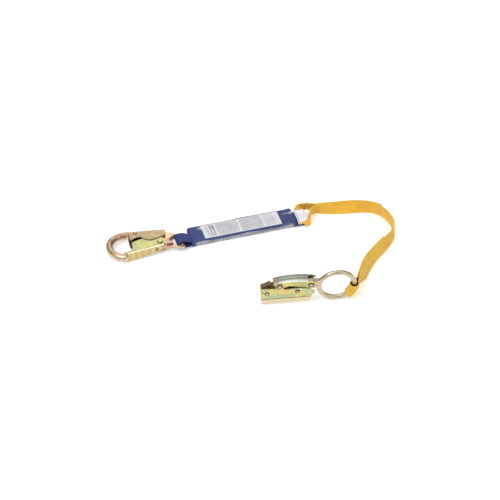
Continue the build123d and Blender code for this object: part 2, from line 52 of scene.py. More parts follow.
# ---------------------------------------------------------------- camera, floor and light
AZ = math.radians(16.7)
EL = math.radians(41.0)
TARGET = at(0, -52, 0)
DISTANCE = 6.0
FRAME_WIDTH = 0.835
SENSOR = 36
# each light's name, place, size in metres and power in watts
LIGHTS = [("key", (-1.2, -0.6, 1.9), 1.1, 22), ("fill", (1.4, -1.6, 1.3), 1.4, 10),
          ("rim", (0.4, 1.8, 1.5), 0.9, 6)]
# the world's brightness by direction: 0 is level or below, 1 is straight up
SKY = [(0.0, 0.70), (0.18, 0.32), (0.42, 0.25), (0.60, 0.42), (0.78, 0.55), (0.92, 1.1), (1.0, 1.2)]


def place_camera():
    data = bpy.data.cameras.new("camera")
    data.sensor_width = SENSOR
    data.lens = SENSOR * DISTANCE / FRAME_WIDTH
    data.clip_end = 60
    cam = bpy.data.objects.new("camera", data)
    bpy.context.scene.collection.objects.link(cam)
    back = Vector((-math.sin(AZ) * math.cos(EL), -math.cos(AZ) * math.cos(EL), math.sin(EL)))
    cam.location = TARGET + back * DISTANCE
    cam.rotation_euler = (-back).to_track_quat("-Z", "Y").to_euler()
    bpy.context.scene.camera = cam


place_camera()


# ---------------------------------------------------------------- node helpers
class Shader:
    """A material and short calls that add nodes to it."""

    def __init__(self, name):
        self.mat = bpy.data.materials.new(name)
        self.mat.use_nodes = True
        self.tree = self.mat.node_tree
        self.bsdf = self.tree.nodes["Principled BSDF"]
        self.coord = self.tree.nodes.new("ShaderNodeTexCoord")

    def add(self, kind, inputs=(), **props):
        node = self.tree.nodes.new(kind)
        for key, value in props.items():
            setattr(node, key, value)
        for key, value in dict(inputs).items():
            if isinstance(value, bpy.types.NodeSocket):
                self.tree.links.new(value, node.inputs[key])
            else:
                node.inputs[key].default_value = value
        return node

    def math(self, op, a, b=0.0):
        return self.add("ShaderNodeMath", {0: a, 1: b}, operation=op).outputs[0]

    def mapped(self, scale, uv=False):
        source = self.coord.outputs["UV" if uv else "Object"]
        return self.add("ShaderNodeMapping", {"Vector": source, "Scale": scale}).outputs[0]

    def uv(self):
        split = self.add("ShaderNodeSeparateXYZ", {0: self.coord.outputs["UV"]})
        return split.outputs[0], split.outputs[1]

    def stripes(self, value, pitch):
        """A sine of the value, one wave to each pitch in millimetres."""
        return self.math("SINE", self.math("MULTIPLY", value, 2 * math.pi / (pitch * MM)))

    def noise(self, scale, detail=3.0, rough=0.55, vector=None):
        if vector is None:
            vector = self.coord.outputs["Object"]
        return self.add("ShaderNodeTexNoise", {"Vector": vector, "Scale": scale, "Detail": detail,
                                               "Roughness": rough}).outputs["Fac"]

    def ramp(self, fac, stops):
        node = self.add("ShaderNodeValToRGB", {"Fac": fac})
        band = node.color_ramp
        while len(band.elements) < len(stops):
            band.elements.new(0.5)
        for element, (pos, colour) in zip(band.elements, stops):
            element.position = pos
            element.color = (*colour, 1) if len(colour) == 3 else colour
        return node.outputs["Color"]

    def grey(self, fac, stops):
        return self.ramp(fac, [(pos, (v, v, v)) for pos, v in stops])

    def mix(self, fac, a, b):
        node = self.add("ShaderNodeMix", {0: fac, 6: a, 7: b}, data_type="RGBA")
        return node.outputs[2]

    def put(self, name, value):
        if isinstance(value, bpy.types.NodeSocket):
            self.tree.links.new(value, self.bsdf.inputs[name])
        else:
            self.bsdf.inputs[name].default_value = value

    def bump(self, height, strength, distance):
        node = self.add("ShaderNodeBump", {"Height": height, "Strength": strength,
                                           "Distance": distance})
        self.put("Normal", node.outputs["Normal"])


def in_plane(s, origin, ways):
    """The shaded point's position along the given directions, in millimetres from origin."""
    place = s.add("ShaderNodeVectorMath", {0: s.coord.outputs["Object"], 1: tuple(origin)},
                  operation="SUBTRACT").outputs[0]
    out = []
    for way in ways:
        reach = s.add("ShaderNodeVectorMath", {0: place, 1: tuple(way)}, operation="DOT_PRODUCT")
        out.append(s.math("MULTIPLY", reach.outputs["Value"], 1000))
    return out


def between(s, value, low, high):
    return s.math("MULTIPLY", s.math("GREATER_THAN", value, low), s.math("LESS_THAN", value, high))


def span(s, a, b, spot):
    """Distance from (a, b) to a spot in their plane."""
    da, db = s.math("SUBTRACT", a, spot[0]), s.math("SUBTRACT", b, spot[1])
    return s.math("SQRT", s.math("ADD", s.math("MULTIPLY", da, da), s.math("MULTIPLY", db, db)))


# the rope grab's frame (groove centre, along it, across it, up) and its rivet heads there
GROOVE = Vector((68.257, -99.571, 10.199)) * MM
GRAB_X = Vector((0.97814, -0.20256, 0.04711))
GRAB_Y = Vector((0.19565, 0.97309, 0.12173))
GRAB_Z = Vector((-0.0705, -0.10986, 0.99144))
GRAB_HEADS = [((-31.05, 22.1), 3.3), ((19.05, 21.7), 3.3), ((-9.65, 35.9), 4.0), ((41.85, 31.9), 4.5)]
# the step under the cheek, where a line of painted shade runs: its lower and upper edge, and how much it
# falls along the groove
STEP_LOW, STEP_HIGH, STEP_FALL = 5.6, 8.9, 0.0248
# the hook's pivot and the gate's dimple, in plan, with their radii
HOOK_HEADS = [((-94.516, 83.315), 4.2), ((-129.558, 113.485), 2.6)]

# the lock lever's outer wall: a point on it, along it and inwards
WALL_AT = Vector((-154.824, 67.353, 0)) * MM
WALL_WAY = Vector((0.99546, 0.09515, 0))
WALL_IN = Vector((-0.09515, 0.99546, 0))
# the wall's hole, painted dark as shade: where it is, along the wall and up
WALL_HOLE = (52.55, 12.7)
WALL_EDGE = 0.3         # how far in the wall's own face reaches, before the bend


def head_ring_shade(s, colour, heads, a, b):
    """Painted shade: dark rings where the heads sit on the sheet."""
    ring = None
    for spot, radius in heads:
        part = between(s, span(s, a, b, spot), radius - 0.5, radius + 1.0)
        ring = part if ring is None else s.math("MAXIMUM", ring, part)
    return s.mix(s.math("MULTIPLY", ring, 0.85), colour, (0.10, 0.05, 0.03, 1))


# painted shade rings round the hook's pivot head and the gate's dimple
def hook_head_shade(s, colour):
    a, b = in_plane(s, (0, 0, 0), (Vector((1, 0, 0)), Vector((0, 1, 0))))
    return head_ring_shade(s, colour, HOOK_HEADS, a, b)


def lever_bands_and_light(s, colour):
    """A painted highlight along the cheek's edge at the bend, and bands of tint on the wall below it; the
    wall's hole is painted dark as shade.
    """
    colour = hook_head_shade(s, colour)
    inward, along, height = in_plane(s, WALL_AT, (WALL_IN, WALL_WAY, Vector((0, 0, 1))))
    waves = s.math("SINE", s.math("ADD", s.math("MULTIPLY", along, 0.55),
                                  s.math("MULTIPLY", s.noise(90, 3.0), 5.0)))
    bands = s.ramp(s.math("ADD", s.math("MULTIPLY", waves, 0.30), 0.5),
                   [(0.2, (0.56, 0.34, 0.20)), (0.5, (0.66, 0.50, 0.22)), (0.8, (0.68, 0.58, 0.14))])
    colour = s.mix(s.math("MULTIPLY", s.math("LESS_THAN", inward, WALL_EDGE), 0.6), colour, bands)
    # painted shade: the wall's hole is a dark brown disc
    hole = s.math("MULTIPLY", s.math("LESS_THAN", span(s, along, height, WALL_HOLE), 3.0), 0.85)
    colour = s.mix(hole, colour, (0.07, 0.04, 0.03, 1))
    # painted highlight: a near-white band along the cheek's edge, just in from the wall
    bend = s.math("MULTIPLY", between(s, inward, WALL_EDGE, 2.2), 0.75)
    return s.mix(bend, colour, (0.98, 0.92, 0.78, 1))


def grab_painted_light(s, colour):
    """Painted shade: rings round the heads, and a brown line in the step under the cheek's lower edge;
    below the step a painted highlight makes the sheet paler.
    """
    a, b = in_plane(s, GROOVE, (GRAB_X, GRAB_Z))
    colour = head_ring_shade(s, colour, GRAB_HEADS, a, b)
    level = s.math("ADD", b, s.math("MULTIPLY", a, STEP_FALL))
    # painted highlight: below the step the sheet is made paler
    pale = s.math("MULTIPLY", s.math("LESS_THAN", level, STEP_LOW), 0.6)
    colour = s.mix(pale, colour, (0.74, 0.68, 0.50, 1))
    # painted shade in the step under the cheek's lower edge
    line = s.math("MULTIPLY", between(s, level, STEP_LOW, STEP_HIGH), 0.85)
    return s.mix(line, colour, (0.22, 0.10, 0.05, 1))


def rivet_painted_light(s, colour):
    """Painted highlight and shade: each head is bright in the middle and dark towards its rim."""
    a, b = in_plane(s, GROOVE, (GRAB_X, GRAB_Z))
    near = None
    for spot, radius in GRAB_HEADS:
        part = s.math("DIVIDE", span(s, a, b, spot), radius)
        near = part if near is None else s.math("MINIMUM", near, part)
    return s.mix(s.grey(near, [(0.35, 0.0), (0.6, 0.75), (0.95, 0.95)]), colour, (0.10, 0.05, 0.04, 1))


def cover_light_and_tint(s, colour):
    """A painted highlight along the near fold, painted shade over the top that turns greyer towards the
    back, and a golden tint at one end.
    """
    a, b = in_plane(s, GROOVE, (GRAB_X, GRAB_Y))
    fold = s.add("ShaderNodeMapRange", {0: b, 1: -7.8, 2: 8.0, 3: 0.0, 4: 1.0}).outputs[0]
    # painted highlight at the near fold, painted shade further across the top
    shade = s.ramp(fold, [(0.0, (0.95, 0.93, 0.84)), (0.20, (0.86, 0.84, 0.76)), (0.34, (0.24, 0.27, 0.22)),
                          (0.66, (0.40, 0.43, 0.35)), (0.9, (0.18, 0.21, 0.17))])
    colour = s.mix(0.88, colour, shade)
    gold = s.add("ShaderNodeMapRange", {0: a, 1: -19.0, 2: -10.0, 3: 0.8, 4: 0.0}).outputs[0]
    return s.mix(gold, colour, (0.62, 0.36, 0.10, 1))


def plated(name, stops, scale=26.0, rough=(0.24, 0.42), seed=0.0, metallic=0.88, marks_and_light=None):
    """Yellow zinc plating: patches of tint, fine pickling, faint scratches."""
    s = Shader(name)
    place = s.add("ShaderNodeMapping", {"Vector": s.coord.outputs["Object"],
                                        "Location": (seed, seed * 0.7, seed * 0.3)}).outputs[0]
    patches = s.noise(scale, 4.0, 0.6, place)
    fine = s.noise(scale * 9, 4.0, 0.65, place)
    fac = s.math("ADD", s.math("MULTIPLY", patches, 0.8), s.math("MULTIPLY", fine, 0.2))
    tint = s.ramp(fac, stops)
    grime = s.grey(s.noise(scale * 2.6, 5.0, 0.7, place), [(0.25, 0.55), (0.47, 1.0)])
    colour = s.add("ShaderNodeMix", {0: 0.75, 6: tint, 7: grime}, data_type="RGBA",
                   blend_type="MULTIPLY").outputs[2]
    # the function given here adds tint bands and painted highlight and shade over the plating colour
    s.put("Base Color", marks_and_light(s, colour) if marks_and_light else colour)
    s.put("Metallic", metallic)
    s.put("Roughness", s.grey(fine, [(0.3, rough[0]), (0.7, rough[1])]))
    scratch = s.noise(60, 2.0, 0.5, s.mapped((3.0, 40.0, 40.0)))
    pits = s.noise(1500, 2.0, 0.5)
    s.bump(s.math("ADD", s.math("MULTIPLY", scratch, 0.5), pits), 0.16, 0.0004)
    return s.mat


def webbing(name, light, dark, rib=1.9, strength=0.5, spread=0.35, thread=None, sheen=0.25):
    """Woven tape: cross ribs along U, yarns along V, both in metres of UV."""
    s = Shader(name)
    u, v = s.uv()
    wobble = s.math("MULTIPLY", s.noise(420, 2.0, 0.5), 0.0007)
    ribs = s.stripes(s.math("ADD", u, wobble), rib)
    yarns = s.stripes(v, 0.95)
    chevron = s.stripes(s.math("ADD", u, s.math("ABSOLUTE", v)), 0.7)
    height = s.math("ADD", s.math("MULTIPLY", ribs, 0.6),
                    s.math("ADD", s.math("MULTIPLY", yarns, 0.25), s.math("MULTIPLY", chevron, 0.15)))
    level = s.math("ADD", s.math("MULTIPLY", height, 0.28), 0.5)
    stain = s.noise(38, 4.0, 0.6)
    fac = s.math("ADD", s.math("MULTIPLY", level, 1 - spread), s.math("MULTIPLY", stain, spread))
    colour = s.ramp(fac, [(0.33, dark), (0.5, tuple((a + b) / 2 for a, b in zip(light, dark))),
                          (0.64, light)])
    if thread:
        rows, dashes = s.stripes(v, 5.2), s.stripes(u, 2.6)
        seam = s.math("MULTIPLY", s.math("GREATER_THAN", rows, 0.93),
                      s.math("GREATER_THAN", dashes, -0.2))
        colour = s.mix(s.math("MULTIPLY", seam, 0.8), colour, (*thread, 1))
        height = s.math("ADD", height, s.math("MULTIPLY", seam, 1.2))
    s.put("Base Color", colour)
    s.put("Roughness", s.grey(stain, [(0.3, 0.62), (0.7, 0.82)]))
    s.put("Sheen Weight", sheen)
    s.put("Sheen Roughness", 0.4)
    s.bump(height, strength, 0.0004)
    return s.mat


# the plating's tints, as (position, colour)
GOLD = (0.60, 0.43, 0.19)
PINK = (0.58, 0.35, 0.26)
BEIGE = (0.58, 0.47, 0.30)
GREEN = (0.42, 0.43, 0.20)
TEAL = (0.36, 0.47, 0.34)
YELLOW = (0.68, 0.58, 0.17)
BROWN = (0.30, 0.16, 0.08)
STEEL = {
    "nose": plated("plating, nose", [(0.30, BROWN), (0.42, PINK), (0.52, BEIGE), (0.62, GOLD),
                                     (0.74, PINK)], 24, (0.26, 0.42), 0.3),
    "gate": plated("plating, gate", [(0.30, (0.34, 0.22, 0.12)), (0.42, (0.46, 0.34, 0.20)),
                                     (0.52, (0.40, 0.27, 0.17)), (0.62, (0.36, 0.34, 0.17)), (0.74, PINK)],
                   44, (0.30, 0.46), 1.1, marks_and_light=hook_head_shade),
    "lever": plated("plating, lever", [(0.30, (0.30, 0.31, 0.14)), (0.44, (0.44, 0.40, 0.20)),
                                       (0.54, GREEN), (0.68, YELLOW), (0.76, PINK)],
                    40, (0.30, 0.46), 2.3, marks_and_light=lever_bands_and_light),
    "housing": plated("plating, housing", [(0.30, PINK), (0.42, YELLOW), (0.50, BEIGE), (0.58, YELLOW),
                                           (0.68, PINK), (0.78, BROWN)], 48, (0.28, 0.44), 5.2,
                      marks_and_light=grab_painted_light),
    "cheek": plated("plating, cheek", [(0.30, PINK), (0.40, GOLD), (0.47, YELLOW), (0.54, TEAL),
                                       (0.66, YELLOW), (0.78, GOLD)], 44, (0.26, 0.42), 3.7,
                    marks_and_light=grab_painted_light),
    "cover": plated("plating, cover", [(0.28, GOLD), (0.36, BEIGE), (0.46, TEAL),
                                       (0.60, (0.40, 0.44, 0.36)), (0.74, BEIGE)], 30, (0.22, 0.36), 4.4,
                    marks_and_light=cover_light_and_tint),
    "arm": plated("plating, arm", [(0.30, YELLOW), (0.46, GREEN), (0.58, YELLOW), (0.72, GOLD)],
                  44, (0.28, 0.44), 6.1, marks_and_light=grab_painted_light),
    "ring": plated("plating, ring", [(0.28, GOLD), (0.42, BEIGE), (0.54, (0.56, 0.48, 0.34)),
                                     (0.66, PINK), (0.78, YELLOW)], 36, (0.24, 0.40), 7.9),
    "rivet": plated("plating, rivets", [(0.30, PINK), (0.5, (0.72, 0.58, 0.58)), (0.7, BEIGE)],
                    60, (0.26, 0.40), 8.8, marks_and_light=rivet_painted_light),
    "spring": plated("oiled spring wire", [(0.3, (0.08, 0.06, 0.04)), (0.5, (0.26, 0.20, 0.12)),
                                           (0.7, (0.44, 0.36, 0.22))], 90, (0.3, 0.5), 9.4, 0.8),
    "cam": plated("dark cam", [(0.3, (0.10, 0.09, 0.07)), (0.55, (0.24, 0.22, 0.16)),
                               (0.75, (0.34, 0.29, 0.20))], 50, (0.35, 0.5), 10.2),
}
CAD_FINISH = {
    "hook_body": "nose", "hook_gate": "gate", "hook_lock_lever": "lever", "hook_pivot_rivet": "lever",
    "hook_gate_spring": "spring", "hook_lever_spring": "spring", "grab_channel": "housing",
    "grab_cheek_front": "cheek", "grab_cheek_back": "cheek", "grab_rivets": "rivet",
    "grab_pivot_rivet": "rivet", "grab_seat_pin": "rivet", "grab_spring": "spring",
    "arm_plate_front": "arm", "arm_plate_back": "arm", "arm_cover": "cover", "cam": "cam",
    "cam_tie_pin": "arm", "ring_pin": "rivet", "ring_link": "ring",
}
for node, finish in CAD_FINISH.items():
    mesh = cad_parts[node].data
    mesh.materials.clear()
    mesh.materials.append(STEEL[finish])

GOLD_WEB = webbing("gold webbing", (0.95, 0.58, 0.050), (0.66, 0.33, 0.010), 3.4, 0.6)
GOLD_SEWN = webbing("gold webbing, sewn", (0.97, 0.63, 0.055), (0.68, 0.36, 0.010), 3.4, 0.7,
                    thread=(0.55, 0.28, 0.02))
BLUE_WEB = webbing("blue webbing", (0.034, 0.062, 0.255), (0.012, 0.022, 0.12), 1.5, 0.4, 0.5,
                   sheen=0.06)
BLACK_WEB = webbing("black wear webbing", (0.020, 0.018, 0.018), (0.003, 0.003, 0.004), 1.4, 0.5)
TEAR_WEB = webbing("tear webbing", (0.78, 0.78, 0.80), (0.34, 0.35, 0.40), 5.0, 0.3, 0.6)
# a darker copy of the tear webbing, painted shade for the inset layers between the folds
TEAR_SHADED = webbing("tear webbing, grey", (0.26, 0.27, 0.31), (0.10, 0.10, 0.13), 5.0, 0.3, 0.6)
BACK_WEB = webbing("backup webbing", (0.30, 0.31, 0.38), (0.12, 0.12, 0.17), 2.0, 0.3)
THREAD = webbing("blue thread", (0.10, 0.15, 0.45), (0.03, 0.05, 0.2), 0.6, 0.3)


FILM_MID, FILM_CLEAR = 0.049, 0.067     # the pack's middle in x, and half of the stretch without gleams


def film_material():
    """Thin clear film, with white gleams at its wrinkles near the ends."""
    s = Shader("clear film")
    split = s.add("ShaderNodeSeparateXYZ", {0: s.coord.outputs["Object"]})
    wrinkle = s.noise(30, 3.0, 0.6, s.mapped((0.5, 1.6, 1.0)))
    s.put("Base Color", (0.93, 0.94, 0.96, 1))
    s.put("Roughness", 0.12)
    along = s.math("ABSOLUTE", s.math("SUBTRACT", split.outputs[0], FILM_MID))
    ends = s.math("GREATER_THAN", along, FILM_CLEAR)
    gleam = s.grey(wrinkle, [(0.57, 0.0), (0.64, 0.12), (0.68, 0.45)])
    s.put("Alpha", s.math("ADD", 0.02, s.math("MULTIPLY", gleam, ends)))
    s.bump(wrinkle, 0.5, 0.004)
    return s.mat


# the label's columns: from, to, darkness
LABEL_COLUMNS = [(-60, -56, 0.55), (-54.5, -51, 0.9), (-49.5, -45.5, 0.95), (-43, -5, 0.62),
                 (-1, 36, 0.62), (40, 58, 0.4)]


def label_material():
    """White label: columns of short grey lines that spell nothing, and one darker block."""
    s = Shader("label")
    u, v = s.uv()
    lines = s.stripes(v, 1.5)
    words = s.noise(1.0, 1.0, 0.5, s.mapped((900, 5200, 1), uv=True))
    grey = s.math("MULTIPLY", s.math("GREATER_THAN", lines, -0.35), s.math("GREATER_THAN", words, 0.40))
    ink = None
    for low, high, weight in LABEL_COLUMNS:
        part = s.math("MULTIPLY", s.math("MULTIPLY", between(s, u, low * MM, high * MM), grey), weight)
        ink = part if ink is None else s.math("ADD", ink, part)
    ink = s.math("MULTIPLY", ink, between(s, v, -14.6 * MM, 14.6 * MM))
    bars = s.math("MULTIPLY", between(s, u, -54.5 * MM, -45.5 * MM), between(s, v, 3 * MM, 13 * MM))
    ink = s.math("MAXIMUM", ink, s.math("MULTIPLY", s.math("MULTIPLY", bars, words), 0.9))
    paper = s.ramp(s.noise(60, 3.0), [(0.3, (0.62, 0.63, 0.66)), (0.7, (0.76, 0.77, 0.79))])
    s.put("Base Color", s.mix(ink, paper, (0.10, 0.10, 0.12, 1)))
    s.put("Roughness", 0.42)
    s.bump(s.noise(70, 2.0), 0.25, 0.0015)
    return s.mat


def tag_material():
    """White woven tag with faint purple smudges and a dark slot."""
    s = Shader("tag")
    u, v = s.uv()
    smudge = s.grey(s.noise(1.0, 2.0, 0.6, s.mapped((300, 420, 1), uv=True)), [(0.50, 0.0), (0.62, 0.55)])
    inside = between(s, u, 0.010, 0.026)
    cloth = s.mix(s.math("MULTIPLY", smudge, inside), (0.86, 0.85, 0.88, 1), (0.36, 0.24, 0.55, 1))
    off_slot = s.math("ABSOLUTE", s.math("SUBTRACT", v, -0.0066))
    slot = s.math("MULTIPLY", s.math("LESS_THAN", off_slot, 0.0006), s.math("LESS_THAN", u, 0.030))
    s.put("Base Color", s.mix(s.math("MULTIPLY", slot, 0.7), cloth, (0.10, 0.10, 0.13, 1)))
    s.put("Roughness", 0.7)
    weave = s.add("ShaderNodeTexChecker", {"Vector": s.coord.outputs["UV"], "Scale": 2400.0})
    s.bump(weave.outputs["Fac"], 0.2, 0.0002)
    return s.mat


FILM = film_material()
LABEL = label_material()
TAG = tag_material()


# ---------------------------------------------------------------- mesh helpers
def build(name, verts, faces, uvs, mat, body="lanyard", smooth=True):
    mesh = bpy.data.meshes.new(name)
    mesh.from_pydata([tuple(v) for v in verts], [], faces)
    layer = mesh.uv_layers.new(name="UVMap")
    for poly in mesh.polygons:
        poly.use_smooth = smooth and len(poly.vertices) == 4
        for loop in poly.loop_indices:
            layer.data[loop].uv = uvs[mesh.loops[loop].vertex_index]
    mesh.materials.append(mat)
    obj = bpy.data.objects.new(name, mesh)
    bpy.context.scene.collection.objects.link(obj)
    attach(obj, body)
    return obj


def nurbs(points, res=10):
    """Points along the smooth line that the given control points make."""
    curve = bpy.data.curves.new("line", "CURVE")
    curve.dimensions = "3D"
    spline = curve.splines.new("NURBS")
    spline.points.add(len(points) - 1)
    for slot, p in zip(spline.points, points):
        slot.co = (*p, 1)
    spline.order_u = 3
    spline.use_endpoint_u = True
    spline.resolution_u = res
    obj = bpy.data.objects.new("line", curve)
    bpy.context.scene.collection.objects.link(obj)
    mesh = bpy.data.meshes.new_from_object(obj)
    out = [Vector(v.co) for v in mesh.vertices]
    bpy.data.objects.remove(obj)
    return out


# the webbing's outline across its width and its thickness, each from -1 to 1
BAND = [(-1, 0), (-0.988, 0.62), (-0.95, 0.95), (-0.85, 1), (-0.5, 0.97), (0, 0.95), (0.5, 0.97), (0.85, 1),
        (0.95, 0.95), (0.988, 0.62), (1, 0), (0.988, -0.62), (0.95, -0.95), (0.85, -1), (0.5, -0.97),
        (0, -0.95), (-0.5, -0.97), (-0.85, -1), (-0.95, -0.95), (-0.988, -0.62)]


def frames(centres, ups):
    """Tangent, width direction and face normal at each station."""
    out = []
    for i in range(len(centres)):
        ahead = centres[min(i + 1, len(centres) - 1)] - centres[max(i - 1, 0)]
        along = ahead.normalized()
        face = along.cross(ups[i]).normalized()
        out.append((along, face.cross(along).normalized(), face))
    return out


def tube_faces(rings, count, caps=True, flip=False):
    """Quads between neighbouring rings of count points, and a face over each end."""
    faces = []
    for i in range(rings - 1):
        for j in range(count):
            k = (j + 1) % count
            a, b, c, d = i * count + j, i * count + k, (i + 1) * count + k, (i + 1) * count + j
            faces.append((a, d, c, b) if flip else (a, b, c, d))
    if caps:
        faces.append(tuple(range(count)))
        faces.append(tuple((rings - 1) * count + j for j in reversed(range(count))))
    return faces


def band(name, centres, ups, widths, thick, mat, shift=0.0):
    """Webbing swept along centres; ups point across its width; shift moves it along its normal."""
    verts, uvs = [], []
    run = 0.0
    for i, (along, up, face) in enumerate(frames(centres, ups)):
        if i:
            run += (centres[i] - centres[i - 1]).length
        half = (widths[i] if hasattr(widths, "__len__") else widths) / 2
        for w, t in BAND:
            verts.append(centres[i] + up * (w * half) + face * (t * thick / 2 + shift))
            uvs.append((run, w * half))
    return build(name, verts, tube_faces(len(centres), len(BAND)), uvs, mat)


# ---------------------------------------------------------------- strap
STRAP_MM = 25.4
STRAP_W = STRAP_MM * MM
WEB_T = 2.2 * MM
TAIL_W = STRAP_W * 0.985
PLY = -2.24 * MM        # from the strap's middle to that of a tail sewn on behind it
FLOOR_GAP = 0.2         # millimetres under the strap's lower edge
STRAP_ROUTE = [(130.5, 5.0), (147.0, -0.6), (165.0, -4.6), (184.0, -8.0), (202.0, -11.6),
               (217.0, -16.6), (229.0, -23.6), (237.6, -35.0), (243.0, -51.0), (245.2, -68.0),
               (243.2, -84.5), (234.6, -99.0), (221.0, -111.8), (206.0, -122.6),
               (191.5, -133.8), (178.0, -146.2), (166.0, -160.5), (156.5, -175.5)]
# how far the top edge leans from the bottom edge at each point
LEAN = [(0, -8), (0, -3), (0, 0.5), (0, 2.5), (0, 1), (1, -2), (-1, -3), (-2, -1.5), (-1.4, 0), (-0.5, 0),
        (-0.5, 0), (-1.5, 1.5), (-3, 3.5), (-5, 5.5), (-7, 7), (-8, 7.5), (-8, 6.5), (-7, 5)]


def strap_lines():
    route, ups = [], []
    for (x, y), (lx, ly) in zip(STRAP_ROUTE, LEAN):
        rise = math.sqrt(STRAP_MM ** 2 - lx * lx - ly * ly)
        route.append(at(x, y, rise / 2 + FLOOR_GAP))
        ups.append(Vector((lx, ly, rise)) / STRAP_MM)
    return nurbs(route), nurbs(ups)


LINE, UPS = strap_lines()
strap = band("strap", LINE, UPS, STRAP_W, WEB_T, GOLD_WEB)
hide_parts("strap_webbing")

# the stations at which the two folded-back tails stop
FAR_TAIL = int(len(LINE) * 0.40)
NEAR_TAIL = int(len(LINE) * 0.74)
tail_pack = band("strap_tail_pack_end", LINE[:FAR_TAIL], UPS[:FAR_TAIL], TAIL_W, WEB_T, GOLD_SEWN, PLY)
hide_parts("strap_tail_pack")
# this tail is sewn on a little high, so its end shows as a step
HIGH_LINE = [p + up * 4.6 * MM * (1 - k / (len(LINE) - NEAR_TAIL)) ** 1.6 for k, (p, up) in
             enumerate(zip(LINE[NEAR_TAIL:], UPS[NEAR_TAIL:]))]
tail_ring = band("strap_tail_ring_end", HIGH_LINE, UPS[NEAR_TAIL:], TAIL_W, WEB_T, GOLD_SEWN, PLY)
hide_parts("strap_tail_ring")


# the strap's eye at the pack: a point, the direction across the webbing, and its width
PACK_EYE = [((131.5, 4.8, 12.8), (0, -0.3, 0.95), 25.0), ((126.0, 9.6, 13.2), (-0.1, -0.2, 0.95), 22.5),
            ((121.0, 14.6, 12.6), (-0.3, -0.1, 0.9), 19.5), ((115.0, 17.8, 11.0), (-0.7, 0.0, 0.7), 17.0),
            ((108.5, 17.4, 9.0), (-0.95, 0.1, 0.35), 16.0), ((104.0, 12.5, 7.6), (-1, 0, 0.05), 15.6),
            ((102.3, 3.0, 7.0), (-1, 0, 0), 15.4), ((102.3, -8.0, 7.0), (-1, 0, 0), 15.4),
            ((102.6, -17.0, 6.8), (-1, 0, 0.05), 15.4), ((105.4, -21.2, 6.9), (-0.85, 0.1, 0.5), 14.4),
            ((111.0, -21.6, 7.6), (-0.3, 0.05, 0.95), 14.4), ((116.4, -18.6, 8.4), (0.0, -0.05, 1), 15.6),
            ((117.4, -11.0, 9.2), (0.05, -0.12, 1), 17.5), ((118.4, -4.0, 10.6), (0, -0.2, 0.97), 20.5),
            ((122.0, 0.4, 11.9), (0, -0.25, 0.96), 23.0), ((126.5, 1.6, 12.5), (0, -0.3, 0.95), 24.5),
            ((131.0, 1.9, 12.7), (0, -0.3, 0.95), 25.0)]


def pack_eye():
    """From the strap down the far leg, flat through the pack's loop and back up the near leg."""
    line = nurbs([at(*p) for p, _, _ in PACK_EYE])
    ups = nurbs([Vector(u).normalized() for _, u, _ in PACK_EYE])
    widths = [v.x for v in nurbs([(w * MM, 0.001 * i, 0) for i, (_, _, w) in enumerate(PACK_EYE)])]
    return band("strap_eye_pack_end", line, ups, widths, WEB_T, GOLD_SEWN)


eye_pack = pack_eye()
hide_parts("strap_eye_pack")

# ring frame: centre, two directions in its plane and the normal towards its front
RING_C = Vector((149.304, -119.644, 33.272)) * MM
RING_X = Vector((0.98714, -0.15988, 0))
RING_Y = Vector((-0.0181, -0.11175, 0.99357))
RING_N = Vector((-0.15885, -0.98079, -0.1132))
RING_R = 29.3 * MM
EYE_ANGLE = math.radians(-26.0)


def ring_point(out, back, along):
    """A point by the eye: outwards from the bar, to the ring's back, and along the bar."""
    angle = EYE_ANGLE + along / RING_R
    return RING_C + (RING_X * math.cos(angle) + RING_Y * math.sin(angle)) * (RING_R + out) - RING_N * back


def eye_line(radius, gap, reach):
    """The eye's loop in (outwards, back), from one leg round the bar to the other leg."""
    way = Vector((0.55, 0.835)).normalized()        # from the bar towards the legs
    side = Vector((-way.y, way.x))
    points = [way * reach + side * gap, way * (reach * 0.62) + side * (gap * 1.9)]
    for step in range(17):      # round the far side of the bar
        a = math.radians(52 + 256 * step / 16)
        points.append((way * math.cos(a) + side * math.sin(a)) * radius)
    points += [way * (reach * 0.62) - side * (gap * 1.9), way * reach - side * gap]
    return points


def ring_eye(name, radius, gap, thick, width, mat, neck):
    """A band round the ring's bar that bends with the bar.

    neck carries both legs on to the strap's end.  It holds how far each leg lies from the
    strap's middle, then which way each leg's outside faces there.
    """
    flat = eye_line(radius, gap, 15.0 * MM)
    bend = nurbs([(p.x, p.y, 0) for p in flat], 6)
    end = LINE[-1]
    travel = (LINE[-1] - LINE[-2]).normalized()
    face = travel.cross(UPS[-1]).normalized()
    verts, uvs, rings = [], [], []
    for i, p in enumerate(bend):
        ahead = (bend[min(i + 1, len(bend) - 1)] - bend[max(i - 1, 0)]).normalized()
        out = Vector((ahead.y, -ahead.x))
        row = []
        for w, t in BAND:
            q = Vector((p.x, p.y)) + out * (t * thick / 2)
            row.append(ring_point(q.x, q.y, w * width / 2))
        rings.append(row)

    def leg(from_row, side, sign):
        """Rows that carry one leg on from the eye to the strap's end."""
        rows, target = [], []
        for w, t in BAND:
            shift = face * (side + sign * t * thick / 2)
            target.append(end - travel * 1.5 * MM + UPS[-1] * (w * width / 2) + shift)
        for step in range(1, 13):
            k = step / 12
            ease = k * k * (3 - 2 * k)
            rows.append([a.lerp(b, 0.6 * k + 0.4 * ease) for a, b in zip(from_row, target)])
        return rows

    if neck:
        first = leg(rings[0], neck[0], neck[2])
        last = leg(rings[-1], neck[1], neck[3])
        rings = list(reversed(first)) + rings + last
    run = 0.0
    for i, row in enumerate(rings):
        if i:
            run += (row[5] - rings[i - 1][5]).length
        verts += row
        uvs += [(run, w * width / 2) for w, _ in BAND]
    return build(name, verts, tube_faces(len(rings), len(BAND)), uvs, mat)


